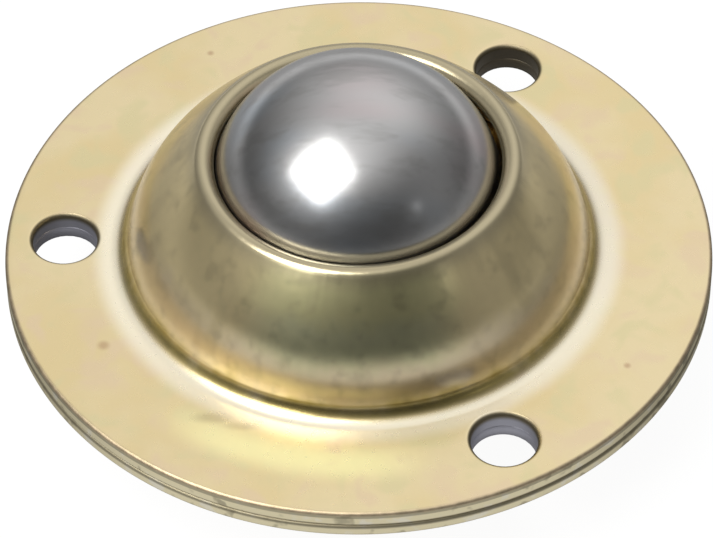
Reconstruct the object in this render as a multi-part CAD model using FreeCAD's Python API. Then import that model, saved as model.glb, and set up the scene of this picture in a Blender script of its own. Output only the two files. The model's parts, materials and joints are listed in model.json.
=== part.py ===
"""Ball castor: two pressed steel plates that hold a load ball on a bed of small balls.

Millimetres. The origin is the centre of the fixing circle on the flange's underside,
which lies on whatever the castor is screwed to. +Z points towards the load ball.
"""
import FreeCAD, Part
import math
import os

# Fixing holes, and the flat that the flange keeps on either side of them
HOLE_DIAMETER = 5.5
HOLE_COUNT = 3
FIRST_HOLE_ANGLE = 180.0
HOLE_ROLL = 0.4
HOLE_LAND = 0.65
EDGE_LAND = 2.25
EDGE_ROLL = 0.35

# Sheet thickness of the two pressings
TOP_SHEET = 1.5
BASE_SHEET = 1.2

# Drawn dome of the top pressing: a flat shoulder that runs over into a rounder wall where
# the face's normal stands at the given angle over the flange
DOME_FOOT_DIAMETER = 42.4
DOME_FOOT_BEND = 1.7
DOME_WALL_RADIUS = 13.0
DOME_SHOULDER_RADIUS = 40.0
DOME_MEETING_ANGLE = 37.0

# Opening of the dome: its lip stands at this angle above the level of the ball's centre
LIP_ANGLE = 18.5
LIP_CLEARANCE = 0.13
LIP_LAND = 0.1
RIM_ROLL = 0.9

# Load ball: its height over the mounting face, and how far it lies off the axis
BALL_DIAMETER = 25.0
BALL_HEIGHT = 8.4
BALL_DRIFT = 0.13

# Bed of support balls
SUPPORT_DIAMETER = 4.0
SUPPORT_SPACING = 0.05
RING_SPACING = 0.16
RUNNING_CLEARANCE = 0.05
RING_COUNT = 4

# Bend between the bowl and the flange of the base pressing
CUP_BEND = 1.2

# Worked out from the sizes above
HOLE_CIRCLE = DOME_FOOT_DIAMETER + HOLE_DIAMETER + 2 * (HOLE_ROLL + HOLE_LAND)
FLANGE_RADIUS = (HOLE_CIRCLE + HOLE_DIAMETER) / 2 + EDGE_LAND
FLANGE_TOP = BASE_SHEET + TOP_SHEET
BALL_RADIUS = BALL_DIAMETER / 2
SUPPORT_RADIUS = SUPPORT_DIAMETER / 2
LIP_RADIUS = BALL_RADIUS + BALL_DRIFT + LIP_CLEARANCE
BED_RADIUS = BALL_RADIUS + BALL_DRIFT + RUNNING_CLEARANCE + SUPPORT_RADIUS
RACE_RADIUS = BED_RADIUS + SUPPORT_RADIUS + RUNNING_CLEARANCE
UP = FreeCAD.Vector(0, 0, 1)
TOLERANCE = 1e-6


def at(radius, height):
    """A point of a turned profile."""
    return FreeCAD.Vector(radius, 0, height)


def towards(start, end, distance):
    """The point that lies a given distance from start on the way to end."""
    step = end.sub(start)
    step.normalize()
    return start.add(step.multiply(distance))


def crossing(first, first_reach, second, second_reach):
    """Where two circles of the profile's plane cross, on the left of the way from first to second."""
    way = second.sub(first)
    span = way.Length
    along = (first_reach ** 2 - second_reach ** 2 + span ** 2) / (2 * span)
    aside = math.sqrt(first_reach ** 2 - along ** 2)
    way.normalize()
    left = FreeCAD.Vector(-way.z, 0, way.x)
    return first.add(way * along).add(left * aside)


def line(start, end):
    return Part.makeLine(start, end)


def arc(centre, start, end):
    """The shorter arc about centre from start to end."""
    middle = start.add(end).multiply(0.5)
    crown = towards(centre, middle, start.distanceToPoint(centre))
    return Part.Arc(start, crown, end).toShape()


def turned(edges):
    """The solid that a closed profile makes when it turns about the Z axis."""
    face = Part.Face(Part.Wire(edges))
    return Part.Solid(face.revolve(FreeCAD.Vector(0, 0, 0), UP, 360))


def flange_edge(low, high):
    """The flange's outer edge between two faces, rolled over at both of its corners."""
    inner = FLANGE_RADIUS - EDGE_ROLL
    return [
        arc(at(inner, low + EDGE_ROLL), at(inner, low), at(FLANGE_RADIUS, low + EDGE_ROLL)),
        line(at(FLANGE_RADIUS, low + EDGE_ROLL), at(FLANGE_RADIUS, high - EDGE_ROLL)),
        arc(at(inner, high - EDGE_ROLL), at(FLANGE_RADIUS, high - EDGE_ROLL), at(inner, high)),
    ]


def hole_places():
    """Centres of the fixing holes on their circle."""
    places = []
    for index in range(HOLE_COUNT):
        angle = math.radians(FIRST_HOLE_ANGLE + index * 360 / HOLE_COUNT)
        places.append((HOLE_CIRCLE / 2 * math.cos(angle), HOLE_CIRCLE / 2 * math.sin(angle)))
    return places


def pierced(plate, low, high, roll):
    """The plate with its fixing holes, whose upper edge is rolled in where roll isn't zero."""
    radius = HOLE_DIAMETER / 2
    for x, y in hole_places():
        plate = plate.cut(Part.makeCylinder(radius, high - low, FreeCAD.Vector(x, y, low)))
    if roll:
        rims = [edge for edge in plate.Edges if is_hole_rim(edge, high)]
        plate = plate.makeFillet(roll, rims)
    return plate.Solids[0]


def is_hole_rim(edge, height):
    """True for the round edge of a fixing hole at the given height."""
    if not isinstance(edge.Curve, Part.Circle):
        return False
    centre = edge.Curve.Center
    return abs(centre.z - height) < TOLERANCE and math.hypot(centre.x, centre.y) > TOLERANCE


def make_top_housing():
    """Upper pressing: flange, dome drawn upwards with a bend at its foot, and rolled rim.

    The wall's arc touches the foot's bend, the shoulder's arc touches the rim's roll, and the
    two run over into each other. The inner face lies one sheet below the outer one. The lip is
    coined to a sphere about the load ball, so the opening keeps the ball in and still clears it.
    """
    low = BASE_SHEET
    ball = at(0, BALL_HEIGHT)
    lip_angle = math.radians(LIP_ANGLE)
    lip_top = ball.add(at(LIP_RADIUS * math.cos(lip_angle), LIP_RADIUS * math.sin(lip_angle)))
    rim_end = lip_top.add(at(0, LIP_LAND))
    rim = rim_end.add(at(RIM_ROLL, 0))
    foot = at(DOME_FOOT_DIAMETER / 2, FLANGE_TOP + DOME_FOOT_BEND)
    meeting_angle = math.radians(DOME_MEETING_ANGLE)
    meeting_way = at(math.cos(meeting_angle), math.sin(meeting_angle))
    centre_step = meeting_way * (DOME_SHOULDER_RADIUS - DOME_WALL_RADIUS)
    wall = crossing(foot, DOME_WALL_RADIUS + DOME_FOOT_BEND,
                    rim.add(centre_step), DOME_SHOULDER_RADIUS - RIM_ROLL)
    shoulder = wall.sub(centre_step)

    outer_foot = at(foot.x, FLANGE_TOP)
    outer_wall = towards(foot, wall, DOME_FOOT_BEND)
    outer_meeting = wall.add(meeting_way * DOME_WALL_RADIUS)
    rim_start = towards(shoulder, rim, DOME_SHOULDER_RADIUS)
    lip_foot = crossing(ball, LIP_RADIUS, shoulder, DOME_SHOULDER_RADIUS - TOP_SHEET)
    inner_meeting = wall.add(meeting_way * (DOME_WALL_RADIUS - TOP_SHEET))
    inner_wall = towards(foot, wall, DOME_FOOT_BEND + TOP_SHEET)
    inner_foot = at(foot.x, low)

    profile = flange_edge(low, FLANGE_TOP) + [
        line(at(FLANGE_RADIUS - EDGE_ROLL, FLANGE_TOP), outer_foot),
        arc(foot, outer_foot, outer_wall),
        arc(wall, outer_wall, outer_meeting),
        arc(shoulder, outer_meeting, rim_start),
        arc(rim, rim_start, rim_end),
        line(rim_end, lip_top),
        arc(ball, lip_top, lip_foot),
        arc(shoulder, lip_foot, inner_meeting),
        arc(wall, inner_meeting, inner_wall),
        arc(foot, inner_wall, inner_foot),
        line(inner_foot, at(FLANGE_RADIUS - EDGE_ROLL, low)),
    ]
    return pierced(turned(profile), low, FLANGE_TOP, HOLE_ROLL)


def make_base_cup():
    """Lower pressing: flange and a bowl drawn downwards, whose inside is the balls' race."""
    ball = at(0, BALL_HEIGHT)
    outer_radius = RACE_RADIUS + BASE_SHEET
    bend_drop = BALL_HEIGHT + CUP_BEND
    bend = at(math.sqrt((outer_radius + CUP_BEND) ** 2 - bend_drop ** 2), -CUP_BEND)

    race_mouth = towards(ball, bend, RACE_RADIUS)
    bowl_mouth = towards(ball, bend, outer_radius)
    profile = flange_edge(0, BASE_SHEET) + [
        line(at(FLANGE_RADIUS - EDGE_ROLL, BASE_SHEET), at(bend.x, BASE_SHEET)),
        arc(bend, at(bend.x, BASE_SHEET), race_mouth),
        arc(ball, race_mouth, at(0, BALL_HEIGHT - RACE_RADIUS)),
        line(at(0, BALL_HEIGHT - RACE_RADIUS), at(0, BALL_HEIGHT - outer_radius)),
        arc(ball, at(0, BALL_HEIGHT - outer_radius), bowl_mouth),
        arc(bend, bowl_mouth, at(bend.x, 0)),
        line(at(bend.x, 0), at(FLANGE_RADIUS - EDGE_ROLL, 0)),
    ]
    return pierced(turned(profile), 0, BASE_SHEET, 0)


def make_load_ball():
    """Load ball, lying to one side of its play in the opening as it comes to rest."""
    return Part.makeSphere(BALL_RADIUS, FreeCAD.Vector(-BALL_DRIFT, 0, BALL_HEIGHT))


def support_places():
    """Centres of the support balls: one at the bottom of the bowl and full rings round it."""
    pitch = SUPPORT_DIAMETER + SUPPORT_SPACING
    ring_step = 2 * math.asin((SUPPORT_DIAMETER + RING_SPACING) / (2 * BED_RADIUS))
    places = [FreeCAD.Vector(0, 0, BALL_HEIGHT - BED_RADIUS)]
    for ring in range(1, RING_COUNT):
        polar = ring * ring_step
        radius = BED_RADIUS * math.sin(polar)
        height = BALL_HEIGHT - BED_RADIUS * math.cos(polar)
        count = int(math.pi / math.asin(pitch / (2 * radius)))
        for index in range(count):
            angle = 2 * math.pi * index / count
            places.append(FreeCAD.Vector(radius * math.cos(angle), radius * math.sin(angle), height))
    return places


def main():
    os.makedirs("parts", exist_ok=True)
    shapes = {
        "top_housing": make_top_housing(),
        "base_cup": make_base_cup(),
        "load_ball": make_load_ball(),
    }
    for index, place in enumerate(support_places()):
        shapes[f"support_ball_{index:02d}"] = Part.makeSphere(SUPPORT_RADIUS, place)
    for node, shape in shapes.items():
        shape.exportStep(f"parts/{node}.step")
        print(node, shape.ShapeType, shape.isValid(), round(shape.Volume, 3))


main()
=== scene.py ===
"""Ball castor: finishes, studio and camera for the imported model.

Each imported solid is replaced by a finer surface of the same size. A profile is an array of
points (radius, height) in metres that turns about the frame's Z axis.
"""
import json
import math

import bmesh
import bpy
import numpy as np
from bpy.props import FloatProperty, FloatVectorProperty, IntProperty, PointerProperty
from mathutils import Matrix, Vector


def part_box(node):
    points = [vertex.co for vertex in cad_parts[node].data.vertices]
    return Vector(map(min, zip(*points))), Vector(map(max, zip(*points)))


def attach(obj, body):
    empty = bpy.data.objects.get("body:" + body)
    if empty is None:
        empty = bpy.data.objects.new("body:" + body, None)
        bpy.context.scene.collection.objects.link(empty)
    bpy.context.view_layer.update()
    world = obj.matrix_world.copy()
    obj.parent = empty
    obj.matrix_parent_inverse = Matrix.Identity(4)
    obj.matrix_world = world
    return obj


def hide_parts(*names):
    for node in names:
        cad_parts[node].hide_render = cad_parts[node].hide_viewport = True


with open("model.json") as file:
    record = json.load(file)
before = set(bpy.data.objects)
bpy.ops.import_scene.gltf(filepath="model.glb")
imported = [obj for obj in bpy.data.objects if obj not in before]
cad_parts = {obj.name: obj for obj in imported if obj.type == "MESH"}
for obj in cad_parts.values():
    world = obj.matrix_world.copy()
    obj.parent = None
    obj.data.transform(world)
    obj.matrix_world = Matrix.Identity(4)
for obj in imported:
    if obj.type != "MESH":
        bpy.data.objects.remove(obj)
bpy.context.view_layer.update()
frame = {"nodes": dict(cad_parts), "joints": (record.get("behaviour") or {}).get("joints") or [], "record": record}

bl_info = {
    "name": "Ball castor",
    "version": (1, 0, 0),
    "blender": (4, 5, 0),
    "location": "View3D > Sidebar > Ball castor",
    "description": "Builds the pressings and balls of a flanged ball castor, with a studio",
    "category": "Add Mesh",
}

MM = 0.001
HOUSING_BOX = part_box("top_housing")
CUP_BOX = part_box("base_cup")
BALL_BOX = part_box("load_ball")
FIXING = frame["record"]["mounts"][0]["dims"]
BALL_JOINT = next(joint for joint in frame["joints"] if joint["child"] == "rolling_ball")
BALL_CENTRE = Vector(BALL_JOINT["pos_m"])
BALL_RADIUS = (BALL_BOX[1].z - BALL_BOX[0].z) / 2
SUPPORT_NODES = sorted(name for name in frame["nodes"] if name.startswith("support_ball"))

# Meshes: rows and columns of a ball, and when points merge and edges stay sharp
LOAD_GRID = (97, 128)
BED_GRID = (25, 32)
MERGE_DISTANCE = 2e-7
SHARP_ANGLE = math.radians(50)

# Noise scales over a metre, from clouds as wide as the flange's ring to grain
CLOUD_SCALE = 110.0
BLOTCH_SCALE = 260.0
MOTTLE_SCALE = 240.0
SPECKLE_SCALE = 620.0
FINE_SCALE = 1100.0
# Draw lines up the dome: how close they lie, and how fast they change over a millimetre of height
DRAW_LINES = 9.0
LINE_CHANGE = 0.12

# A pair named STEP, SPAN, BAND or REACH is where a mask starts and where it is full: in noise, in the
# cosine of a bearing, in millimetres of height and in millimetres of distance. A SHARE is the most of
# a film that shows.

# Films of the flange
PALE_STEP = (0.36, 0.64)
OLIVE_STEP = (0.52, 0.68)
ROSE_STEP = (0.48, 0.32)
CAST_SHARE = 0.7
# Painted reflection: a pale yellow patch on the flange in front, standing in for the dome's bright reflection
# mirrored again; its bearing, and the radius of its middle
REFLECTION_PATCH_WAY = (-0.20, -0.98)
REFLECTION_PATCH_SPAN = (0.87, 0.99)
REFLECTION_PATCH_RADIUS = 24.6
REFLECTION_PATCH_REACH = (2.6, 0.2)
REFLECTION_PATCH_STEP = (0.2, 0.5)
REFLECTION_PATCH_SHARE = 0.8
# Marks on the flange: middle and reach in millimetres, and how much shorter a smear is along Y
SMEARS = (((-11.4, -20.0), 2.4, 0.35), ((-8.8, -20.8), 2.2, 0.3))
SMEAR_STEP = (0.3, 0.6)
SMEAR_SHARE = 0.3
SPECKS = (((-20.85, -12.2), 0.75), ((22.6, -13.4), 0.45), ((12.5, 24.3), 0.4), ((-13.8, 22.9), 0.45))
SPECK_SHARE = 0.6
SPOT_FADE = (1.0, 0.15)

# Films of the dome over the mounting face, and how far mottle and draw lines move their heights
MOTTLE_LIFT = 2.4
LINE_LIFT = 1.6
BLUSH_BAND = (3.0, 5.4)
GOLD_BAND = (6.5, 9.0)
GREEN_BAND = (6.0, 8.4)
GREEN_SPAN = (0.82, 0.98)
GREEN_ROUND = 0.15
# Painted highlight: a pale yellow band on the shoulder just under the rim, in front only
RIM_HIGHLIGHT_BAND = (9.2, 10.8)
RIM_HIGHLIGHT_SPAN = (0.75, 0.98)
RIM_HIGHLIGHT_SHARE = 0.7
# Painted shade: a dark film, and under the blush band a darker gold, where the dome runs into the flange
CREASE_SHADE_BAND = (4.3, 3.2)
SPECKLE_STEP = (0.5, 0.75)
SPECKLE_SHARE = 0.22
STAIN_STEP = (0.0, 0.4)
STAIN_SHARE = 0.2
HAZE_SPAN = (0.98, 0.7)
HAZE_SHARE = 0.17

# Outer edge of the flanges: bare and smutty specks, the joint, painted shade on a line under the upper
# corner and on the lower corner, and the rubbed roll over them
BARE_STEP = (0.56, 0.7)
BARE_SHARE = 0.8
SMUT_STEP = (0.44, 0.3)
SMUT_SHARE = 0.5
JOINT_REACH = (0.42, 0.16)
JOINT_SHARE = 0.75
# Painted shade: a dark line under the upper corner's roll, and the lower corner darkened
SHADE_LINE_DROP = 0.38
SHADE_LINE_REACH = (0.22, 0.08)
SHADE_LINE_SHARE = 0.55
LOWER_SHADE_BAND = (0.4, 0.1)
LOWER_SHADE_SHARE = 0.6
ROLL_BAND = (-0.34, -0.16)

# Masks of the sheet, from the dome's foot, the flange's top, the rim, the painted reflection round the foot, the
# outer edge and the lip
DOME_REACH = (0.2, -1.0)
DOME_BAND = (0.05, 0.6)
UPPER_BAND = (-0.5, -0.1)
RIM_REACH = (1.6, -0.1)
RIM_BAND = (7.0, 9.5)
# Painted reflection: a pale, less metallic ring on the flange round the dome's foot, where the key light is
# mirrored in the foot's bend
FOOT_REFLECTION_INNER_REACH = (-1.1, -0.5)
FOOT_REFLECTION_OUTER_REACH = (1.9, 0.1)
FOOT_REFLECTION_SHARE = 0.7
CORNER_REACH = (-0.4, -0.1)
LIP_REACH = (0.12, 0.02)
LIP_BAND = (0.0, 1.0)
# Holes: where the cut shows, in shares of the edge's roll, and painted shade at the mouth and towards the back
CUT_ROLLS = (0.9, 0.3)
MOUTH_SHADE_BAND = (-0.9, -0.3)
BACK_SHADE_REACH = (2.0, 18.0)
BACK_SHADE_SHARE = 0.9
# How matt the painted reflections on the flange and round the dome's foot are, roughness of cut faces, and how far
# grain changes roughness
REFLECTION_PATCH_MATT = 0.5
FOOT_REFLECTION_MATT = 0.35
CUT_GLOSS = 0.5
GLOSS_CHANGE = 0.05

# Relief: strength and depth. The dome looks steeper by its lean, from this height over the flange
WALL_LEAN = 0.11
WALL_START = 1.3
LEAN_RELIEF = (1.0, MM)
DENT_RELIEF = (0.3, 0.3 * MM)
LINE_RELIEF = (0.2, 0.12 * MM)
GRAIN_RELIEF = (0.02, 0.05 * MM)

# Balls: scale of streaks and tints over a millimetre, how far they are drawn out along X, and their films
STREAK_SCALE = 0.55
STREAK_STRETCH = 0.25
TINT_SCALE = 0.16
TINT_STRETCH = 0.4
SCRATCH_RELIEF = (0.12, 0.05 * MM)
WARM_STEP = (0.5, 0.72)
COOL_STEP = (0.5, 0.28)
DULL_STEP = (0.48, 0.68)
DULL_SHARE = 0.5

# Room light as soft glows round the key lamp, on the back wall, the ceiling, the back corner and the
# window: the way to each, how tight it is and its radiance
ROOM_LEVEL = 0.07
ROOM_GLOWS = (
    ((-0.503, -0.268, 0.822), 7.46, 1.08),
    ((0.085, 0.707, 0.702), 4.03, 1.06),
    ((0.156, -0.195, 0.968), 10.9, 0.63),
    ((0.504, 0.405, 0.763), 16.3, 0.32),
    ((0.916, -0.278, 0.288), 10.5, 0.19),
)
# Ground: its radiance by bearing, and the horizon with its shift in front
GROUND_BEHIND = 0.95
GROUND_ASIDE = 0.38
GROUND_BEFORE = 0.5
BEHIND_SPAN = (0.3, 1.0)
BEFORE_SPAN = (-0.2, -0.8)
HORIZON_STEP = (0.04, -0.02)
HORIZON_SHIFT = -0.01
HORIZON_SPAN = (-0.4, -0.9)
WORLD_CORE = 0.01
# Floor: radiance that the camera sees, the painted shadow that dims it in reflections close to the castor, and its
# drop
FLOOR_LEVEL = 0.94
FLOOR_CORE = 40.0
NEAR_SHADOW_LEVEL = 0.3
NEAR_SHADOW_REACH = (90.0, 280.0)
FLOOR_GAP = 0.02 * MM
FLOOR_COLUMNS = 96
# Camera: width of the picture in millimetres, and the nearest that it sees, in metres
SENSOR_WIDTH = 36.0
CLIP_START = 0.01


def length(label, text, default):
    """A size in metres that the sidebar shows with its unit."""
    return FloatProperty(name=label, description=text, default=default, unit="LENGTH", precision=5)


def colour(label, text, default):
    """A linear colour without alpha."""
    return FloatVectorProperty(
        name=label, description=text, default=default, subtype="COLOR", size=3, min=0, max=1
    )


def factor(label, text, default):
    """A share between none and all."""
    return FloatProperty(name=label, description=text, default=default, subtype="FACTOR", min=0, max=1)


def angle(label, text, default):
    """An angle, given in degrees and kept in radians."""
    return FloatProperty(name=label, description=text, default=math.radians(default), subtype="ANGLE")


def direction(label, text, default):
    """A way in the frame's axes."""
    return FloatVectorProperty(name=label, description=text, default=default, subtype="DIRECTION")


class CastorSizes(bpy.types.PropertyGroup):
    """Sizes of the two pressings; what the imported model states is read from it."""

    flange_radius: length("Flange radius", "Outer radius of both flanges", HOUSING_BOX[1].x)
    edge_roll: length("Edge roll", "Rounding of the flanges' outer corners", 0.35 * MM)
    hole_circle: length("Hole circle", "Diameter of the circle of fixing holes", FIXING["pcd_mm"] * MM)
    hole_radius: length("Hole radius", "Radius of a fixing hole", FIXING["hole_r_mm"] * MM)
    hole_count: IntProperty(name="Holes", description="Number of fixing holes", default=FIXING["count"])
    first_hole: angle("First hole", "Where the first fixing hole stands", 180)
    hole_roll: length("Hole roll", "Rounding of a hole's upper edge", 0.4 * MM)
    top_sheet: length("Top sheet", "Thickness of the upper pressing", 1.5 * MM)
    base_sheet: length("Base sheet", "Thickness of the lower pressing", CUP_BOX[1].z)
    foot_radius: length("Dome foot", "Radius at which the dome's foot meets the flange", 21.2 * MM)
    foot_bend: length("Foot bend", "Radius of the bend at the dome's foot", 1.7 * MM)
    wall_radius: length("Wall", "Radius of the dome's lower wall in section", 13.0 * MM)
    shoulder_radius: length("Shoulder", "Radius of the dome's shoulder in section", 40.0 * MM)
    meeting: angle("Meeting", "How far the face's normal rises where wall and shoulder meet", 37)
    lip_angle: angle("Lip angle", "Height of the lip over the ball's middle", 18.5)
    lip_play: length("Lip play", "Play between the lip and the ball at its nearest", 0.13 * MM)
    lip_land: length("Lip land", "Upright land between the lip and the rim's roll", 0.1 * MM)
    rim_roll: length("Rim roll", "Rounding of the rim round the opening", 0.9 * MM)
    cup_bend: length("Cup bend", "Radius of the bend under the lower flange", 1.2 * MM)
    burr: length("Burr", "Break of the lower pressing's hole edges", 0.08 * MM)


class CastorFinish(bpy.types.PropertyGroup):
    """Colours and gloss of the plated sheet and of the balls."""

    gold: colour("Plating", "Yellow passivated zinc", (0.86, 0.70, 0.39))
    pale: colour("Pale plating", "Thin passivation", (0.89, 0.745, 0.455))
    # Colour of painted light: the painted reflection on the flange and the painted highlight under the dome's rim
    lemon_highlight: colour("Lemon plating", "Bright yellow patches", (1.0, 0.92, 0.47))
    olive: colour("Olive cast", "Greenish film on the flange", (0.80, 0.71, 0.41))
    rose: colour("Rose cast", "Pinkish film on the flange", (0.86, 0.68, 0.455))
    # Painted shade: darker gold towards the dome's foot
    foot_shade: colour("Deep plating", "Thick film at the dome's foot", (0.74, 0.61, 0.29))
    blush: colour("Blush", "Pinkish film on the dome's wall", (0.83, 0.70, 0.48))
    green: colour("Green cast", "Greenish film on the dome's shoulder", (0.84, 0.82, 0.50))
    # Painted shade where the dome runs into the flange
    crease_shade: colour("Crease", "Dark film where the dome runs into the flange", (0.50, 0.40, 0.15))
    # Specks of bare zinc on the outer edge, and the colour of the painted reflection round the dome's foot
    bare_and_reflection: colour("Bare zinc", "Worn corners and pressed foot", (1.0, 0.95, 0.80))
    rim: colour("Rim", "Rubbed rim round the opening", (0.53, 0.46, 0.30))
    sheared: colour("Sheared edge", "Thin film on the flanges' outer edge", (0.98, 0.89, 0.62))
    # Also the colour of painted shade: in the holes, on a line under the outer edge's upper corner and on its
    # lower corner
    grime_and_shade: colour("Grime", "Dark joints and smears", (0.20, 0.17, 0.11))
    rust: colour("Rust", "Small brown specks", (0.52, 0.33, 0.20))
    cut_edge: colour("Cut edge", "Wall of a pierced hole", (0.48, 0.48, 0.54))
    # Painted shade: a darker colour on the coined lip inside the opening, where little light reaches
    shade: colour("Shade", "Oily steel inside the opening", (0.36, 0.33, 0.25))
    plate_gloss: factor("Plate roughness", "Roughness of the flange", 0.28)
    dome_gloss: factor("Dome roughness", "Roughness of the drawn dome", 0.25)
    steel: colour("Ball steel", "Polished bearing steel", (0.55, 0.545, 0.54))
    warm_steel: colour("Warm steel", "Faint warm tint", (0.58, 0.515, 0.515))
    cool_steel: colour("Cool steel", "Faint cool tint", (0.51, 0.545, 0.58))
    dull_steel: colour("Dull steel", "Grinding streaks", (0.42, 0.415, 0.40))
    ball_gloss: factor("Ball roughness", "Roughness of the polished steel", 0.24)


class CastorStage(bpy.types.PropertyGroup):
    """Camera, lights and floor."""

    distance: length("Camera distance", "From the middle of the flange's top", 363.6 * MM)
    elevation: angle("Camera elevation", "Over the flange", 46.5)
    turn: angle("Camera turn", "About the castor's axis", 2.0)
    roll: angle("Camera roll", "About the line of sight", -0.49)
    lens: FloatProperty(name="Lens", description="Focal length", default=216.2, unit="CAMERA")
    aim_front: length("Aim forward", "How far in front of the axis the camera aims", 3.0 * MM)
    aim_side: length("Aim aside", "How far to the right of the axis the camera aims", -0.2 * MM)
    key_way: direction("Key light", "Way to the key light", (-0.42, -0.375, 0.827))
    key_distance: length("Key distance", "From the ball to the key light", 0.55)
    key_spread: FloatProperty(name="Key spread", description="Side over distance", default=0.64)
    key_level: FloatProperty(name="Key level", description="Radiance of the key light", default=5.0)
    key_twist: angle("Key twist", "Turn of the key light about its way", -10)
    glint_way: direction("Glint", "Way to the small light", (0.74, -0.54, 0.40))
    glint_side: length("Glint side", "Side of the small light", 0.03)
    glint_level: FloatProperty(name="Glint level", description="Radiance of the small light", default=2.0)
    floor: colour("Floor", "Pale floor", (0.10, 0.10, 0.10))
    floor_radius: length("Floor radius", "Reach of the floor", 0.3)


def crossing(first, first_reach, second, second_reach):
    """Where two circles of a profile cross, on the left of the way from first to second."""
    way = second - first
    span = np.hypot(*way)
    along = (first_reach ** 2 - second_reach ** 2 + span ** 2) / (2 * span)
    aside = math.sqrt(first_reach ** 2 - along ** 2)
    step = way / span
    return first + along * step + aside * np.array([-step[1], step[0]])


def towards(start, end, distance):
    """The point a given distance from start on the way to end."""
    return start + distance * (end - start) / np.hypot(*(end - start))


def arc(centre, start, end, count):
    """The shorter arc about centre: centre + reach * (cos a, sin a), with a stepped from start to end."""
    first = start - centre
    last = end - centre
    sweep = math.atan2(first[0] * last[1] - first[1] * last[0], first @ last)
    turn = math.atan2(first[1], first[0]) + sweep * np.linspace(0, 1, count)
    return centre + np.hypot(*first) * np.stack([np.cos(turn), np.sin(turn)], axis=1)


def chain(*runs):
    """One profile from runs of points; a point shared by two runs is kept once."""
    points = np.concatenate([np.reshape(run, (-1, 2)) for run in runs])
    steps = np.hypot(*np.diff(points, axis=0).T)
    return points[np.concatenate([[True], steps > MERGE_DISTANCE])]


def lattice(rows, columns, closed):
    """Quads of a grid stored row by row; a closed grid joins its last column to its first."""
    row = np.arange(rows - 1)[:, None] * columns
    column = np.arange(columns if closed else columns - 1)[None, :]
    after = (column + 1) % columns
    corners = (row + column, row + after, row + columns + after, row + columns + column)
    return np.stack(corners, axis=-1).reshape(-1, 4)


def turned(profile, columns):
    """A profile turned about Z: (r, z) at angle a goes to (r cos a, r sin a, z)."""
    turn = 2 * np.pi * np.arange(columns) / columns
    radius, height = profile.T
    x = np.outer(radius, np.cos(turn))
    y = np.outer(radius, np.sin(turn))
    z = np.outer(height, np.ones(columns))
    points = np.stack([x, y, z], axis=-1)
    return points.reshape(-1, 3), lattice(len(profile), columns, True)


class FlangeGrid:
    """Polar grid of a flange's flat ring, with a frame of grid points round each fixing hole."""

    COLUMNS = 240
    ROWS = 12
    MARGIN = 0.1 * MM
    HALF_FRAME = 8
    RAYS = np.array([0, 0.05, 0.16, 0.32, 0.5, 0.68, 0.84, 1.0])

    def __init__(self, sizes, inner):
        outer = sizes.flange_radius - sizes.edge_roll
        middle = np.linspace(inner + self.MARGIN, outer - self.MARGIN, self.ROWS)
        self.rows = np.concatenate([[inner], middle, [outer]])
        self.turn = 2 * np.pi / self.COLUMNS
        holes = np.arange(sizes.hole_count) / sizes.hole_count
        self.hole_columns = np.rint((sizes.first_hole / (2 * np.pi) + holes) * self.COLUMNS).astype(int)
        self.hole_circle = sizes.hole_circle / 2

    def frames(self):
        """For each hole its centre and the loop of grid points round it."""
        half = np.arange(-self.HALF_FRAME, self.HALF_FRAME + 1)
        inner_side = np.stack([np.full(len(half), self.rows[0]), half], axis=1)
        right_side = np.stack([self.rows[1:], np.full(len(self.rows) - 1, half[-1])], axis=1)
        outer_side = np.stack([np.full(len(half) - 1, self.rows[-1]), half[-2::-1]], axis=1)
        left_side = np.stack([self.rows[-2:0:-1], np.full(len(self.rows) - 2, half[0])], axis=1)
        loop = np.concatenate([inner_side, right_side, outer_side, left_side])
        for column in self.hole_columns:
            turn = (column + loop[:, 1]) * self.turn
            points = loop[:, :1] * np.stack([np.cos(turn), np.sin(turn)], axis=1)
            middle = column * self.turn
            yield self.hole_circle * np.array([math.cos(middle), math.sin(middle)]), points

    def flat(self, height, hole_reach):
        """The pierced ring at a height.

        Between the holes it is the polar grid. Round a hole, rays run from the hole's edge to
        its frame: point = edge + t * (frame - edge), with t from 0 to 1.
        """
        patches = []
        gap = self.COLUMNS // len(self.hole_columns)
        for column in self.hole_columns:
            turn = (column + np.arange(self.HALF_FRAME, gap - self.HALF_FRAME + 1)) * self.turn
            x = np.outer(self.rows, np.cos(turn))
            y = np.outer(self.rows, np.sin(turn))
            points = np.stack([x, y], axis=-1)
            points = np.concatenate([points, np.full(points.shape[:2] + (1,), height)], axis=-1)
            patches.append((points.reshape(-1, 3), lattice(len(self.rows), len(turn), False)))
        for centre, frame_points in self.frames():
            rays = frame_points - centre
            edge = centre + hole_reach * rays / np.hypot(*rays.T)[:, None]
            points = edge + self.RAYS[:, None, None] * (frame_points - edge)
            points = np.concatenate([points, np.full(points.shape[:2] + (1,), height)], axis=-1)
            patches.append((points.reshape(-1, 3), lattice(len(self.RAYS), len(rays), True)))
        return patches

    def walls(self, profile):
        """The holes' walls: a profile of (reach, height) carried round each hole's axis."""
        patches = []
        for centre, frame_points in self.frames():
            rays = frame_points - centre
            rays = rays / np.hypot(*rays.T)[:, None]
            flat = centre + profile[:, :1, None] * rays
            height = np.broadcast_to(profile[:, 1, None, None], flat.shape[:2] + (1,))
            points = np.concatenate([flat, height], axis=-1)
            patches.append((points.reshape(-1, 3), lattice(len(profile), len(rays), True)))
        return patches


def lip_reach(sizes):
    """Radius of the lip's sphere about the ball's middle height."""
    return BALL_RADIUS + abs(BALL_CENTRE.x) + sizes.lip_play


def flange_edge(sizes, low, high):
    """Profile of a flange's outer edge between two heights, rounded at both corners."""
    outer = sizes.flange_radius
    roll = sizes.edge_roll
    inner = outer - roll
    low_start = np.array([inner, low])
    low_end = np.array([outer, low + roll])
    high_start = np.array([outer, high - roll])
    high_end = np.array([inner, high])
    under = arc(np.array([inner, low + roll]), low_start, low_end, count=9)
    over = arc(np.array([inner, high - roll]), high_start, high_end, count=9)
    return chain(under, over)


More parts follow.
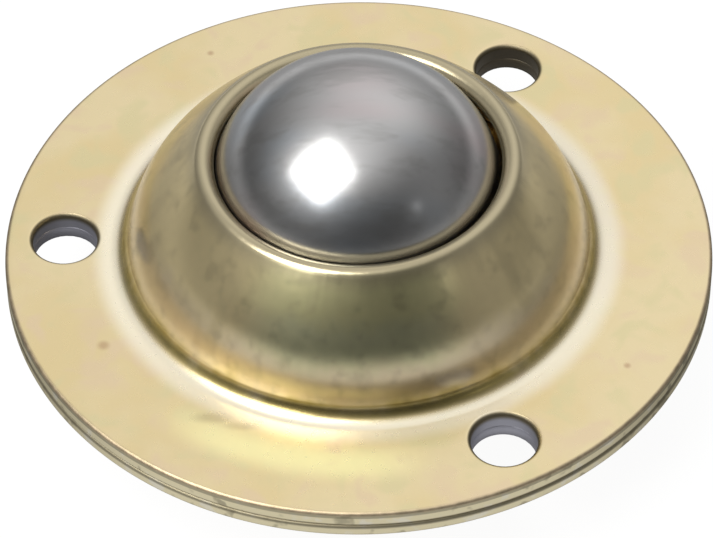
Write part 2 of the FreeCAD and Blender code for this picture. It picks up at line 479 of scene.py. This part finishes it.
def housing_patches(sizes):
    """Upper pressing: pierced flange, bend at the dome's foot, crown, rolled rim and coined lip.

    The wall's arc touches the foot's bend, the shoulder's arc touches the rim's roll, and the
    two run over into each other. The inner face lies one sheet under the outer one, up to the
    sphere of the lip.
    """
    low = sizes.base_sheet
    top = low + sizes.top_sheet
    ball = np.array([0, BALL_CENTRE.z])
    lip = lip_reach(sizes)
    lip_top = ball + lip * np.array([math.cos(sizes.lip_angle), math.sin(sizes.lip_angle)])
    rim_end = lip_top + np.array([0, sizes.lip_land])
    rim = rim_end + np.array([sizes.rim_roll, 0])
    foot = np.array([sizes.foot_radius, top + sizes.foot_bend])
    meeting_way = np.array([math.cos(sizes.meeting), math.sin(sizes.meeting)])
    centre_step = meeting_way * (sizes.shoulder_radius - sizes.wall_radius)
    wall_reach = sizes.wall_radius + sizes.foot_bend
    shoulder_reach = sizes.shoulder_radius - sizes.rim_roll
    wall = crossing(foot, wall_reach, rim + centre_step, shoulder_reach)
    shoulder = wall - centre_step
    outer_foot = np.array([foot[0], top])
    outer_wall = towards(foot, wall, sizes.foot_bend)
    outer_meeting = wall + meeting_way * sizes.wall_radius
    rim_start = towards(shoulder, rim, sizes.shoulder_radius)
    lip_foot = crossing(ball, lip, shoulder, sizes.shoulder_radius - sizes.top_sheet)
    inner_meeting = wall + meeting_way * (sizes.wall_radius - sizes.top_sheet)
    inner_wall = towards(foot, wall, sizes.foot_bend + sizes.top_sheet)
    inner_foot = np.array([foot[0], low])
    skin = chain(
        arc(foot, outer_foot, outer_wall, count=22),
        arc(wall, outer_wall, outer_meeting, count=32),
        arc(shoulder, outer_meeting, rim_start, count=20),
        arc(rim, rim_start, rim_end, count=12),
        arc(ball, lip_top, lip_foot, count=8),
        arc(shoulder, lip_foot, inner_meeting, count=10),
        arc(wall, inner_meeting, inner_wall, count=14),
        arc(foot, inner_wall, inner_foot, count=10),
    )
    grid = FlangeGrid(sizes, foot[0])
    reach = sizes.hole_radius
    roll = sizes.hole_roll
    mouth_middle = np.array([reach + roll, top - roll])
    mouth = arc(mouth_middle, np.array([reach + roll, top]), np.array([reach, top - roll]), count=8)
    return [
        turned(skin, grid.COLUMNS),
        turned(flange_edge(sizes, low, top), grid.COLUMNS),
        *grid.flat(top, reach + roll),
        *grid.flat(low, reach),
        *grid.walls(chain(mouth, [reach, low])),
    ]


def cup_patches(sizes):
    """Lower pressing: pierced flange and a bowl about the ball's middle, bent down from it."""
    top = sizes.base_sheet
    ball = np.array([0, BALL_CENTRE.z])
    outer = BALL_CENTRE.z - CUP_BOX[0].z
    race = outer - sizes.base_sheet
    drop = BALL_CENTRE.z + sizes.cup_bend
    bend = np.array([math.sqrt((outer + sizes.cup_bend) ** 2 - drop ** 2), -sizes.cup_bend])
    skin_top = chain(
        arc(bend, np.array([bend[0], top]), towards(ball, bend, race), count=14),
        arc(ball, towards(ball, bend, race), ball - np.array([0, race]), count=30),
    )
    skin_under = chain(
        arc(ball, ball - np.array([0, outer]), towards(ball, bend, outer), count=40),
        arc(bend, towards(ball, bend, outer), np.array([bend[0], 0]), count=12),
    )
    grid = FlangeGrid(sizes, bend[0])
    reach = sizes.hole_radius
    burr = sizes.burr
    wall = chain([reach + burr, top], [reach, top - burr], [reach, burr], [reach + burr, 0])
    return [
        turned(skin_top, grid.COLUMNS),
        turned(skin_under, grid.COLUMNS),
        turned(flange_edge(sizes, 0, top), grid.COLUMNS),
        *grid.flat(top, reach + burr),
        *grid.flat(0, reach + burr),
        *grid.walls(wall),
    ]


def ball_patch(centre, radius, rows, columns):
    """A ball with its poles on X: centre + radius * (cos u, sin u cos v, sin u sin v)."""
    u = np.linspace(0, np.pi, rows)
    v = 2 * np.pi * np.arange(columns) / columns
    x = np.outer(np.cos(u), np.ones(columns))
    y = np.outer(np.sin(u), np.cos(v))
    z = np.outer(np.sin(u), np.sin(v))
    points = np.stack([x, y, z], axis=-1)
    return [(np.array(centre) + radius * points.reshape(-1, 3), lattice(rows, columns, True))]


def build_piece(name, patches, material, body, node):
    """One closed, smooth object from patches of points and quads, in the place of its node."""
    starts = np.cumsum([0] + [len(points) for points, quads in patches[:-1]])
    points = np.concatenate([points for points, quads in patches])
    quads = np.concatenate([quads + start for (points_here, quads), start in zip(patches, starts)])
    mesh = bpy.data.meshes.new(name)
    mesh.from_pydata(points.tolist(), [], quads.tolist())
    shape = bmesh.new()
    shape.from_mesh(mesh)
    bmesh.ops.remove_doubles(shape, verts=shape.verts, dist=MERGE_DISTANCE)
    bmesh.ops.recalc_face_normals(shape, faces=shape.faces)
    shape.to_mesh(mesh)
    shape.free()
    mesh.shade_smooth()
    mesh.set_sharp_from_angle(angle=SHARP_ANGLE)
    mesh.materials.append(material)
    piece = bpy.data.objects.new(name, mesh)
    bpy.context.scene.collection.objects.link(piece)
    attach(piece, body)
    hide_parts(node)


class Value:
    """A socket that carries a number; arithmetic on it adds Math nodes."""

    def __init__(self, graph, socket):
        self.graph = graph
        self.socket = socket

    def math(self, operation, first, second):
        """Result of a Math node."""
        return self.graph.node("ShaderNodeMath", {"operation": operation}, {0: first, 1: second})

    def __add__(self, other):
        return self.math("ADD", self, other)

    def __radd__(self, other):
        return self.math("ADD", other, self)

    def __sub__(self, other):
        return self.math("SUBTRACT", self, other)

    def __rsub__(self, other):
        return self.math("SUBTRACT", other, self)

    def __mul__(self, other):
        return self.math("MULTIPLY", self, other)

    def __rmul__(self, other):
        return self.math("MULTIPLY", other, self)

    def __truediv__(self, other):
        return self.math("DIVIDE", self, other)

    def __rtruediv__(self, other):
        return self.math("DIVIDE", other, self)

    def __pow__(self, other):
        return self.math("POWER", self, other)

    def __abs__(self):
        return self.math("ABSOLUTE", self, 0.0)

    def exp(self):
        return self.math("EXPONENT", self, 0.0)

    def most(self, other):
        return self.math("MAXIMUM", self, other)

    def least(self, other):
        return self.math("MINIMUM", self, other)

    def rise(self, low, high):
        """0 under low, 1 over high and an eased step between; it falls where low is above high."""
        limits = {"From Min": low, "From Max": high}
        return self.graph.node(
            "ShaderNodeMapRange", {"interpolation_type": "SMOOTHSTEP"}, {"Value": self, **limits}
        )

    def near(self, middle, limits):
        """The eased step between limits that are measured from a middle."""
        return self.rise(middle + limits[0], middle + limits[1])


class Graph:
    """Node tree of a material or of the world."""

    def __init__(self, tree):
        self.tree = tree
        tree.nodes.clear()

    def node(self, kind, settings=None, inputs=None, output=0):
        """Adds a node with its settings and the values or links of its sockets."""
        made = self.tree.nodes.new(kind)
        for name, setting in (settings or {}).items():
            setattr(made, name, setting)
        for name, value in (inputs or {}).items():
            if isinstance(value, Value):
                self.tree.links.new(value.socket, made.inputs[name])
            else:
                made.inputs[name].default_value = value
        return Value(self, made.outputs[output])

    def mix(self, share, first, second):
        """Colour that goes from first to second as share goes from 0 to 1."""
        inputs = {0: share, 6: with_alpha(first), 7: with_alpha(second)}
        return self.node("ShaderNodeMix", {"data_type": "RGBA"}, inputs, 2)

    def noise(self, place, scale, detail=2.0, roughness=0.5, distortion=0.0):
        """Cloudy noise about 0.5."""
        inputs = {"Vector": place, "Scale": scale, "Detail": detail, "Roughness": roughness}
        return self.node("ShaderNodeTexNoise", None, {**inputs, "Distortion": distortion})

    def object_place(self):
        """Object coordinates in metres and their three parts in millimetres."""
        place = self.node("ShaderNodeTexCoord", output="Object")
        return place, [part / MM for part in self.parts(place)]

    def parts(self, vector):
        """The three numbers of a vector."""
        return [self.node("ShaderNodeSeparateXYZ", None, {0: vector}, part) for part in range(3)]

    def grain(self, place):
        """The finest noise, shared by gloss and relief."""
        return self.noise(place, FINE_SCALE, detail=4.0, roughness=0.6)

    def ray(self, kind):
        """1 for rays of the given kind and 0 for others."""
        return self.node("ShaderNodeLightPath", output=kind)

    def looked_at(self):
        """1 where the camera looks, straight or through something clear."""
        return self.ray("Is Camera Ray").most(self.ray("Is Transmission Ray"))

    def dot(self, first, second):
        """Scalar product of two vectors."""
        inputs = {0: first, 1: second}
        return self.node("ShaderNodeVectorMath", {"operation": "DOT_PRODUCT"}, inputs, "Value")

    def vector(self, x, y, z):
        """A vector of three numbers."""
        return self.node("ShaderNodeCombineXYZ", None, {0: x, 1: y, 2: z})

    def bump(self, height, strength, distance, normal=None):
        """Normal that a height gives, upon another normal where there is one."""
        inputs = {"Height": height, "Strength": strength, "Distance": distance}
        if normal is not None:
            inputs["Normal"] = normal
        return self.node("ShaderNodeBump", None, inputs)

    def finish(self, shader, kind):
        """Ends the tree with a shader."""
        out = self.tree.nodes.new(kind)
        self.tree.links.new(shader.socket, out.inputs["Surface"])

    def finish_metal(self, material, base, metal, gloss, normal):
        """Ends the tree of a material with a metal, and returns the material."""
        inputs = {"Base Color": base, "Metallic": metal, "Roughness": gloss, "Normal": normal}
        shader = self.node("ShaderNodeBsdfPrincipled", None, inputs)
        self.finish(shader, "ShaderNodeOutputMaterial")
        return material


def with_alpha(value):
    """A colour with full alpha; a link is left as it is."""
    return value if isinstance(value, Value) else (*value, 1.0)


def new_material(name):
    """A new material and its empty tree."""
    material = bpy.data.materials.new(name)
    material.use_nodes = True
    return material, Graph(material.node_tree)


def hole_distance(x, y, sizes):
    """Distance in millimetres to the middle of the nearest fixing hole."""
    nearest = None
    circle = sizes.hole_circle / 2 / MM
    for index in range(sizes.hole_count):
        turn = sizes.first_hole + 2 * math.pi * index / sizes.hole_count
        aside = x - circle * math.cos(turn)
        ahead = y - circle * math.sin(turn)
        distance = (aside * aside + ahead * ahead) ** 0.5
        nearest = distance if nearest is None else nearest.least(distance)
    return nearest


def spot(x, y, middle, reach, squeeze=1.0):
    """A soft mark on the flange: 1 in its middle and 0 at its reach; squeeze shortens it along Y."""
    aside = x - middle[0]
    ahead = (y - middle[1]) / squeeze
    return ((aside * aside + ahead * ahead) ** 0.5 / reach).rise(*SPOT_FADE)


def flange_film(graph, finish, place, x, y, upper):
    """Passivation of the flat ring: gold and pale clouds with green and rose blotches.

    Also the share of the painted reflection, a pale yellow patch, which like the smears lies on the upper face
    only.
    """
    clouds = graph.noise(place, CLOUD_SCALE, detail=3.0)
    blotches = graph.noise(place, BLOTCH_SCALE, distortion=0.4)
    film = graph.mix(clouds.rise(*PALE_STEP), finish.gold, finish.pale)
    film = graph.mix(CAST_SHARE * blotches.rise(*OLIVE_STEP), film, finish.olive)
    film = graph.mix(CAST_SHARE * blotches.rise(*ROSE_STEP), film, finish.rose)
    radius = (x * x + y * y) ** 0.5
    # Painted reflection: a pale yellow patch on the flange in front
    bearing = (REFLECTION_PATCH_WAY[0] * x + REFLECTION_PATCH_WAY[1] * y) / radius
    patch = bearing.rise(*REFLECTION_PATCH_SPAN) * abs(radius - REFLECTION_PATCH_RADIUS).rise(*REFLECTION_PATCH_REACH)
    reflection_patch = upper * patch * blotches.rise(*REFLECTION_PATCH_STEP)
    film = graph.mix(REFLECTION_PATCH_SHARE * reflection_patch, film, finish.lemon_highlight)
    for middle, reach, squeeze in SMEARS:
        smear = upper * spot(x, y, middle, reach, squeeze) * blotches.rise(*SMEAR_STEP)
        film = graph.mix(SMEAR_SHARE * smear, film, finish.grime_and_shade)
    for middle, reach in SPECKS:
        film = graph.mix(SPECK_SHARE * spot(x, y, middle, reach), film, finish.rust)
    return film, reflection_patch


def dome_film(graph, finish, place, lines, front, z):
    """Passivation of the dome: darker gold and a dark film at the foot as painted shade, rose over it, greenish on
    the shoulder in front, and a painted highlight under the rim in front.

    The films' heights wander with mottle and draw lines. Front is the cosine of the bearing.
    """
    mottle = graph.noise(place, MOTTLE_SCALE, detail=3.0, roughness=0.55)
    speckle = graph.noise(place, SPECKLE_SCALE)
    height = z + MOTTLE_LIFT * (mottle - 0.5) + LINE_LIFT * (lines - 0.5)
    green = GREEN_ROUND + (1.0 - GREEN_ROUND) * front.rise(*GREEN_SPAN)
    # Painted highlight: pale yellow band just under the rim, in front
    rim_highlight = RIM_HIGHLIGHT_SHARE * height.rise(*RIM_HIGHLIGHT_BAND) * front.rise(*RIM_HIGHLIGHT_SPAN)
    # Painted shade: darker gold at the dome's foot
    film = graph.mix(height.rise(*BLUSH_BAND), finish.foot_shade, finish.blush)
    film = graph.mix(height.rise(*GOLD_BAND), film, finish.gold)
    film = graph.mix(height.rise(*GREEN_BAND) * green, film, finish.green)
    film = graph.mix(rim_highlight, film, finish.lemon_highlight)
    # Painted shade: dark film where the dome runs into the flange
    film = graph.mix(height.rise(*CREASE_SHADE_BAND), film, finish.crease_shade)
    film = graph.mix(SPECKLE_SHARE * speckle.rise(*SPECKLE_STEP), film, finish.grime_and_shade)
    return graph.mix(STAIN_SHARE * (mottle + lines - 1.0).rise(*STAIN_STEP), film, finish.grime_and_shade)


def sheared_edge(graph, finish, place, fine, z, joint, top):
    """Outer edge of the flanges: thin film with specks, dark joint, painted shade under the upper corner and on
    the lower corner, rubbed upper roll.
    """
    specks = graph.noise(place, SPECKLE_SCALE)
    edge = graph.mix(BARE_SHARE * specks.rise(*BARE_STEP), finish.sheared, finish.bare_and_reflection)
    edge = graph.mix(SMUT_SHARE * specks.rise(*SMUT_STEP), edge, finish.grime_and_shade)
    edge = graph.mix(JOINT_SHARE * abs(z - joint).rise(*JOINT_REACH), edge, finish.grime_and_shade)
    # Painted shade: dark line under the upper corner
    edge = graph.mix(SHADE_LINE_SHARE * abs(z - top + SHADE_LINE_DROP).rise(*SHADE_LINE_REACH), edge, finish.grime_and_shade)
    # Painted shade: lower corner darkened
    edge = graph.mix(LOWER_SHADE_SHARE * z.rise(*LOWER_SHADE_BAND), edge, finish.grime_and_shade)
    return graph.mix(z.near(top, ROLL_BAND), edge, graph.mix(fine, finish.grime_and_shade, finish.rose))


def hole_cut(graph, finish, sizes, x, y, z, top):
    """Mask of the fixing holes' walls, and their colour: bare, with painted shade at the mouth and at the back."""
    reach = sizes.hole_radius / MM
    roll = sizes.hole_roll / MM
    cut = hole_distance(x, y, sizes).rise(reach + CUT_ROLLS[0] * roll, reach + CUT_ROLLS[1] * roll)
    # Painted shade: darker at the hole's mouth and in the holes towards the back
    hole_shade = z.near(top, MOUTH_SHADE_BAND).most(BACK_SHADE_SHARE * y.rise(*BACK_SHADE_REACH))
    return cut, graph.mix(hole_shade, finish.cut_edge, finish.grime_and_shade)


def lip_face(sizes, radius, z):
    """Mask of the coined lip, which lies on a sphere about the ball's middle height."""
    drop = z - BALL_CENTRE.z / MM
    distance = (radius * radius + drop * drop) ** 0.5
    return distance.near(lip_reach(sizes) / MM, LIP_REACH) * z.rise(*LIP_BAND)


def sheet_relief(graph, place, fine, lines, dome, lift):
    """Normal of the sheet: the dome's lean, shallow dents, draw lines and grain, one upon another."""
    lean = graph.bump(WALL_LEAN * lift.most(0.0) * dome, *LEAN_RELIEF)
    dents = graph.bump(graph.noise(place, CLOUD_SCALE), *DENT_RELIEF, lean)
    drawn = graph.bump(lines * dome, *LINE_RELIEF, dents)
    return graph.bump(fine, *GRAIN_RELIEF, drawn)


def plated_sheet(finish, sizes):
    """Yellow passivated sheet: clouds of film, draw lines up the dome, worn corners and cut holes."""
    material, graph = new_material("plated_sheet")
    place, (x, y, z) = graph.object_place()
    radius = (x * x + y * y) ** 0.5
    front = 0.0 - y / radius.most(1.0)
    fine = graph.grain(place)
    ring = DRAW_LINES / radius
    lines = graph.noise(graph.vector(x * ring, y * ring, LINE_CHANGE * z), 1.0)
    joint = sizes.base_sheet / MM
    top = joint + sizes.top_sheet / MM
    foot = sizes.foot_radius / MM
    rim = (BALL_BOX[1].x + sizes.rim_roll) / MM
    dome = radius.near(foot, DOME_REACH) * z.near(top, DOME_BAND)
    upper = z.near(top, UPPER_BAND)
    rubbed = radius.near(rim, RIM_REACH) * z.near(top, RIM_BAND)
    # Painted reflection: pale ring on the flange round the dome's foot
    foot_reflection = radius.near(foot, FOOT_REFLECTION_INNER_REACH) * radius.near(foot, FOOT_REFLECTION_OUTER_REACH) * upper
    corner = radius.near(sizes.flange_radius / MM, CORNER_REACH)
    cut, wall = hole_cut(graph, finish, sizes, x, y, z, top)
    inside = lip_face(sizes, radius, z)

    film, reflection_patch = flange_film(graph, finish, place, x, y, upper)
    base = graph.mix(dome, film, dome_film(graph, finish, place, lines, front, z))
    base = graph.mix(rubbed, base, finish.rim)
    base = graph.mix(FOOT_REFLECTION_SHARE * foot_reflection, base, finish.bare_and_reflection)
    base = graph.mix(corner, base, sheared_edge(graph, finish, place, fine, z, joint, top))
    base = graph.mix(cut, base, wall)
    # Painted shade on the coined lip inside the opening
    base = graph.mix(inside, base, finish.shade)
    haze = HAZE_SHARE * front.rise(*HAZE_SPAN) * dome
    metal = 1.0 - (REFLECTION_PATCH_MATT * reflection_patch).most(FOOT_REFLECTION_MATT * foot_reflection).most(haze)
    gloss = finish.plate_gloss + (finish.dome_gloss - finish.plate_gloss) * dome
    gloss = gloss + GLOSS_CHANGE * (fine - 0.5)
    gloss = gloss + (CUT_GLOSS - gloss) * cut.most(inside).most(corner)
    relief = sheet_relief(graph, place, fine, lines, dome, z - top - WALL_START)
    return graph.finish_metal(material, base, metal, gloss, relief)


def polished_steel(finish):
    """Polished ball: steel with faint grinding streaks, warm and cool tints and a slight change of gloss."""
    material, graph = new_material("polished_steel")
    place, (x, y, z) = graph.object_place()
    streaks = graph.noise(graph.vector(STREAK_STRETCH * x, y, z), STREAK_SCALE, detail=3.0, roughness=0.6)
    tints = graph.noise(graph.vector(TINT_STRETCH * x, y, z), TINT_SCALE, detail=1.0)
    base = graph.mix(tints.rise(*WARM_STEP), finish.steel, finish.warm_steel)
    base = graph.mix(tints.rise(*COOL_STEP), base, finish.cool_steel)
    base = graph.mix(DULL_SHARE * streaks.rise(*DULL_STEP), base, finish.dull_steel)
    change = (graph.grain(place) - 0.5) + (streaks - 0.5)
    gloss = finish.ball_gloss + GLOSS_CHANGE * change
    scratches = graph.bump(streaks, *SCRATCH_RELIEF)
    return graph.finish_metal(material, base, 1.0, gloss, scratches)


def shared_material(name, make, *details):
    """The material of that name, made on first use."""
    return bpy.data.materials.get(name) or make(*details)


class CASTOR_OT_top_housing(bpy.types.Operator):
    """Build the upper pressing"""

    bl_idname = "castor.top_housing"
    bl_label = "Top housing"

    def execute(self, context):
        scene = context.scene
        material = shared_material("plated_sheet", plated_sheet, scene.castor_finish, scene.castor_sizes)
        patches = housing_patches(scene.castor_sizes)
        build_piece("housing_pressing", patches, material, "housing", "top_housing")
        return {"FINISHED"}


class CASTOR_OT_base_cup(bpy.types.Operator):
    """Build the lower pressing"""

    bl_idname = "castor.base_cup"
    bl_label = "Base cup"

    def execute(self, context):
        scene = context.scene
        material = shared_material("plated_sheet", plated_sheet, scene.castor_finish, scene.castor_sizes)
        patches = cup_patches(scene.castor_sizes)
        build_piece("cup_pressing", patches, material, "housing", "base_cup")
        return {"FINISHED"}


class CASTOR_OT_load_ball(bpy.types.Operator):
    """Build the load ball"""

    bl_idname = "castor.load_ball"
    bl_label = "Load ball"

    def execute(self, context):
        material = shared_material("polished_steel", polished_steel, context.scene.castor_finish)
        patches = ball_patch(BALL_CENTRE, BALL_RADIUS, *LOAD_GRID)
        build_piece("polished_ball", patches, material, "rolling_ball", "load_ball")
        return {"FINISHED"}


class CASTOR_OT_support_balls(bpy.types.Operator):
    """Build the bed of small balls"""

    bl_idname = "castor.support_balls"
    bl_label = "Support balls"

    def execute(self, context):
        material = shared_material("polished_steel", polished_steel, context.scene.castor_finish)
        for node in SUPPORT_NODES:
            low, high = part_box(node)
            patches = ball_patch((low + high) / 2, (high.z - low.z) / 2, *BED_GRID)
            build_piece(node.replace("support", "bed"), patches, material, "ball_bed", node)
        return {"FINISHED"}


def square_lamp(name, way, distance, side, level, twist):
    """A square lamp that faces the ball; radiance = power / (pi * area)."""
    lamp = bpy.data.lights.new(name, "AREA")
    lamp.shape = "SQUARE"
    lamp.size = side
    lamp.energy = level * math.pi * side * side
    stand = bpy.data.objects.new(name, lamp)
    bpy.context.scene.collection.objects.link(stand)
    back = Vector(way).normalized()
    turn = back.to_track_quat("Z", "Y").to_matrix().to_4x4() @ Matrix.Rotation(twist, 4, "Z")
    stand.matrix_world = Matrix.Translation(BALL_CENTRE + distance * back) @ turn
    stand.visible_camera = False


def bearing_cosine(x, y, core):
    """Cosine of the bearing from straight behind; within the core it fades, so the axis has no jump."""
    return y / ((x * x + y * y) ** 0.5).most(core)


def ground_level(ahead, near=1.0):
    """Radiance of the ground by its bearing: bright behind the castor, dim aside and middling in front.

    Aside and behind it is lowered by the share that is given for ground close to the castor, as painted shadow.
    """
    aside = GROUND_ASIDE * near
    behind = (GROUND_BEHIND * near - aside) * ahead.rise(*BEHIND_SPAN)
    before = (GROUND_BEFORE - aside) * ahead.rise(*BEFORE_SPAN)
    return aside + behind + before


def studio_world(graph):
    """White behind the castor, and a room that is bright above and behind and dim in front.

    The room's radiance is a level plus, for each glow, peak * exp(tightness * (cos a - 1)), where
    a is the angle to the middle of the glow.
    """
    way = graph.node("ShaderNodeTexCoord", output="Generated")
    level = ROOM_LEVEL
    for middle, tightness, peak in ROOM_GLOWS:
        level = level + peak * (tightness * (graph.dot(way, middle) - 1.0)).exp()
    x, y, z = graph.parts(way)
    ahead = bearing_cosine(x, y, WORLD_CORE)
    below = (z - HORIZON_SHIFT * ahead.rise(*HORIZON_SPAN)).rise(*HORIZON_STEP)
    level = level + (ground_level(ahead) - level) * below
    strength = level + (1.0 - level) * graph.looked_at()
    shader = graph.node("ShaderNodeBackground", None, {"Strength": strength})
    graph.finish(shader, "ShaderNodeOutputWorld")


class CASTOR_OT_stage(bpy.types.Operator):
    """Set up the floor, the lights and the camera"""

    bl_idname = "castor.stage"
    bl_label = "Stage"

    def execute(self, context):
        scene = context.scene
        stage = scene.castor_stage
        self.add_floor(stage)
        world = bpy.data.worlds.new("studio")
        world.use_nodes = True
        scene.world = world
        studio_world(Graph(world.node_tree))
        distance = stage.key_distance
        key_side = stage.key_spread * distance
        square_lamp("key_lamp", stage.key_way, distance, key_side, stage.key_level, stage.key_twist)
        square_lamp("glint_lamp", stage.glint_way, distance, stage.glint_side, stage.glint_level, 0.0)
        self.add_camera(scene, stage)
        scene.view_settings.view_transform = "Standard"
        return {"FINISHED"}

    def add_floor(self, stage):
        """A pale round floor under the bowl that stays white and keeps the castor's shadow."""
        material, graph = new_material("pale_floor")
        place, (x, y, z) = graph.object_place()
        # Painted shadow: the floor's glow in reflections is dimmed close to the castor
        near = NEAR_SHADOW_LEVEL + (1.0 - NEAR_SHADOW_LEVEL) * ((x * x + y * y) ** 0.5).rise(*NEAR_SHADOW_REACH)
        mirrored = ground_level(bearing_cosine(x, y, FLOOR_CORE), near) * graph.ray("Is Glossy Ray")
        strength = FLOOR_LEVEL * graph.looked_at() + mirrored
        glow = graph.node("ShaderNodeEmission", None, {"Strength": strength})
        matt = graph.node("ShaderNodeBsdfDiffuse", None, {"Color": (*stage.floor, 1.0)})
        both = graph.node("ShaderNodeAddShader", None, {0: glow, 1: matt})
        behind = graph.node("ShaderNodeNewGeometry", output="Backfacing")
        clear = graph.node("ShaderNodeBsdfTransparent")
        shader = graph.node("ShaderNodeMixShader", None, {0: behind, 1: both, 2: clear})
        graph.finish(shader, "ShaderNodeOutputMaterial")
        height = CUP_BOX[0].z - FLOOR_GAP
        points, quads = turned(np.array([[0.0, height], [stage.floor_radius, height]]), FLOOR_COLUMNS)
        mesh = bpy.data.meshes.new("floor")
        mesh.from_pydata(points.tolist(), [], quads[:, ::-1].tolist())
        mesh.materials.append(material)
        floor = bpy.data.objects.new("floor", mesh)
        bpy.context.scene.collection.objects.link(floor)

    def add_camera(self, scene, stage):
        """A camera at the photograph's height and turn, aimed a little in front of the axis."""
        data = bpy.data.cameras.new("camera")
        data.lens = stage.lens
        data.sensor_width = SENSOR_WIDTH
        data.clip_start = CLIP_START
        camera = bpy.data.objects.new("camera", data)
        scene.collection.objects.link(camera)
        top = Vector((0, 0, CUP_BOX[1].z + scene.castor_sizes.top_sheet))
        front = Vector((math.sin(stage.turn), -math.cos(stage.turn), 0))
        side = Vector((math.cos(stage.turn), math.sin(stage.turn), 0))
        up = Vector((0, 0, 1))
        eye = top + stage.distance * (math.cos(stage.elevation) * front + math.sin(stage.elevation) * up)
        aim = top + stage.aim_front * front + stage.aim_side * side
        turn = (eye - aim).to_track_quat("Z", "Y").to_matrix().to_4x4()
        camera.matrix_world = Matrix.Translation(eye) @ turn @ Matrix.Rotation(stage.roll, 4, "Z")
        scene.camera = camera


class CASTOR_PT_panel(bpy.types.Panel):
    """Lists the castor's pieces, sizes and finishes"""

    bl_label = "Ball castor"
    bl_idname = "CASTOR_PT_panel"
    bl_space_type = "VIEW_3D"
    bl_region_type = "UI"
    bl_category = "Ball castor"

    def draw(self, context):
        for operator in OPERATORS:
            self.layout.operator(operator.bl_idname)
        for group in (context.scene.castor_sizes, context.scene.castor_finish, context.scene.castor_stage):
            box = self.layout.box()
            for name in group.__annotations__:
                box.prop(group, name)


OPERATORS = (
    CASTOR_OT_top_housing,
    CASTOR_OT_base_cup,
    CASTOR_OT_load_ball,
    CASTOR_OT_support_balls,
    CASTOR_OT_stage,
)
CLASSES = (CastorSizes, CastorFinish, CastorStage, *OPERATORS, CASTOR_PT_panel)


def register():
    for made in CLASSES:
        bpy.utils.register_class(made)
    bpy.types.Scene.castor_sizes = PointerProperty(type=CastorSizes)
    bpy.types.Scene.castor_finish = PointerProperty(type=CastorFinish)
    bpy.types.Scene.castor_stage = PointerProperty(type=CastorStage)


def unregister():
    del bpy.types.Scene.castor_stage
    del bpy.types.Scene.castor_finish
    del bpy.types.Scene.castor_sizes
    for made in reversed(CLASSES):
        bpy.utils.unregister_class(made)


def main():
    register()
    bpy.ops.castor.top_housing()
    bpy.ops.castor.base_cup()
    bpy.ops.castor.load_ball()
    bpy.ops.castor.support_balls()
    bpy.ops.castor.stage()


if __name__ == "__main__":
    main()
